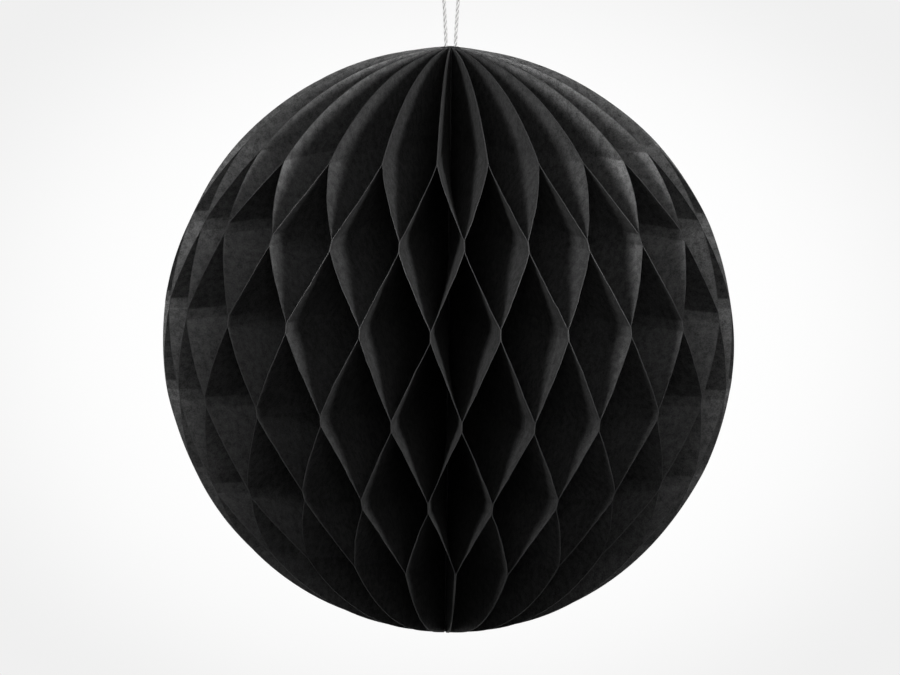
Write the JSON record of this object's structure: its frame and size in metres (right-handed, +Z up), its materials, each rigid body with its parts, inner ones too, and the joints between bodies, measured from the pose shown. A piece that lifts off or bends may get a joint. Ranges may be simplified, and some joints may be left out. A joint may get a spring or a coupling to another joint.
{
  "type": "honeycomb paper ball",
  "caption": "Black honeycomb tissue paper ball with diamond cells, opened round its spine between two cover cards and hung on a white twisted string loop.",
  "frame": {"origin": "inside top of the string loop, where a hook or thread bears when the ball hangs", "axes": "+Z up along the spine, out of the ball's top through the string loop; +Y towards the back seam where the two cover cards meet; +X to the right for someone looking at the front"},
  "size_m": [0.1996, 0.1996, 0.2319],
  "materials": {
    "tissue": "matte tissue paper, dyed through",
    "card": "matte",
    "adhesive_strip": "clear double-sided film",
    "binding_glue": "dried glue, satin",
    "string": "twisted cotton or polyester cord"
  },
  "bodies": {
    "root": {"tissue_leaf_01": "tissue", "tissue_leaf_02": "tissue", "tissue_leaf_03": "tissue", "tissue_leaf_04": "tissue", "tissue_leaf_05": "tissue", "tissue_leaf_06": "tissue", "tissue_leaf_07": "tissue", "tissue_leaf_08": "tissue", "tissue_leaf_09": "tissue", "tissue_leaf_10": "tissue", "tissue_leaf_11": "tissue", "tissue_leaf_12": "tissue", "tissue_leaf_13": "tissue", "tissue_leaf_14": "tissue", "tissue_leaf_15": "tissue", "tissue_leaf_16": "tissue", "tissue_leaf_17": "tissue", "tissue_leaf_18": "tissue", "tissue_leaf_19": "tissue", "tissue_leaf_20": "tissue", "tissue_leaf_21": "tissue", "tissue_leaf_22": "tissue", "tissue_leaf_23": "tissue", "tissue_leaf_24": "tissue", "tissue_leaf_25": "tissue", "tissue_leaf_26": "tissue", "tissue_leaf_27": "tissue", "tissue_leaf_28": "tissue", "tissue_leaf_29": "tissue", "tissue_leaf_30": "tissue", "tissue_leaf_31": "tissue", "tissue_leaf_32": "tissue", "tissue_leaf_33": "tissue", "tissue_leaf_34": "tissue", "tissue_leaf_35": "tissue", "tissue_leaf_36": "tissue", "tissue_leaf_37": "tissue", "tissue_leaf_38": "tissue", "tissue_leaf_39": "tissue", "tissue_leaf_40": "tissue", "tissue_leaf_41": "tissue", "tissue_leaf_42": "tissue", "tissue_leaf_43": "tissue", "tissue_leaf_44": "tissue", "tissue_leaf_45": "tissue", "tissue_leaf_46": "tissue", "tissue_leaf_47": "tissue", "tissue_leaf_48": "tissue", "tissue_leaf_49": "tissue", "tissue_leaf_50": "tissue", "cover_card_left": "card", "cover_card_right": "card", "adhesive_strip_upper": "adhesive_strip", "adhesive_strip_lower": "adhesive_strip", "spine_binding": "binding_glue", "hanging_string": "string"}
  },
  "joints": []
}
